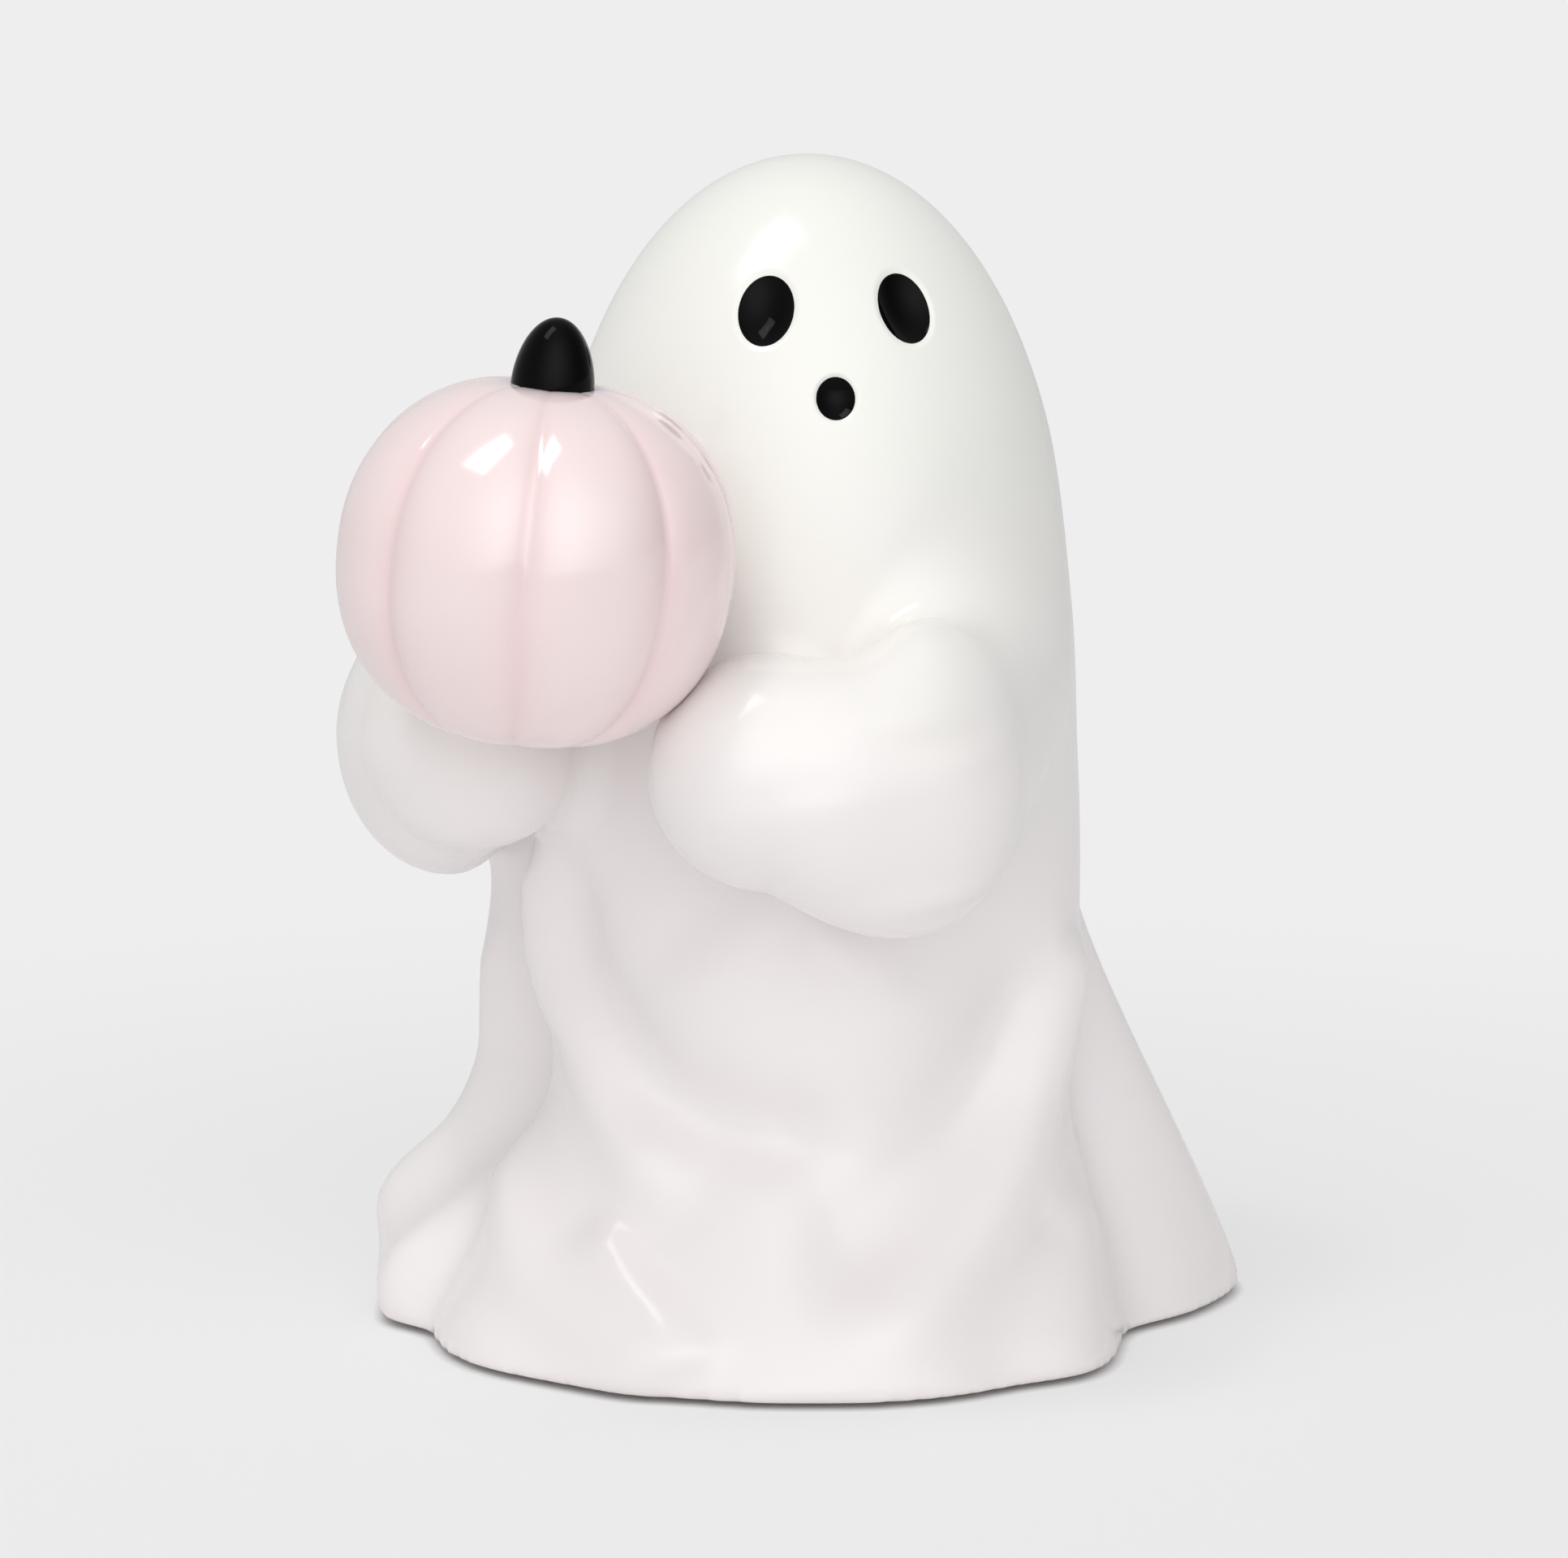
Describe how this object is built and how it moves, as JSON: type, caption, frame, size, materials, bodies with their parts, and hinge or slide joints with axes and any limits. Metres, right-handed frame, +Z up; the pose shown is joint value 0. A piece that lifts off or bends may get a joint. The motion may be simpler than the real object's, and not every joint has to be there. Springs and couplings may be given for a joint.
{
  "type": "ceramic ghost figurine",
  "caption": "Glazed ceramic ghost under a draped sheet, holding out a ribbed pumpkin with a blunt black stem in both sleeve-covered hands.",
  "frame": {"origin": "middle of the footprint's bounding box, on the surface that the figurine stands on", "axes": "+Z up, -Y towards the viewer that the face looks at, +X towards the trailing end of the sheet"},
  "size_m": [0.1166, 0.1202, 0.1505],
  "materials": {
    "white_glaze": "gloss white glaze over a white earthenware body",
    "pink_glaze": "gloss pale pink glaze",
    "black_glaze": "gloss black glaze",
    "felt": "pressed grey felt"
  },
  "bodies": {
    "root": {"ghost_body": "white_glaze", "left_arm": "white_glaze", "right_arm": "white_glaze", "pumpkin": "pink_glaze", "pumpkin_stem": "black_glaze", "right_eye": "black_glaze", "left_eye": "black_glaze", "mouth": "black_glaze", "foot_pad_1": "felt", "foot_pad_2": "felt", "foot_pad_3": "felt", "foot_pad_4": "felt"}
  },
  "joints": []
}
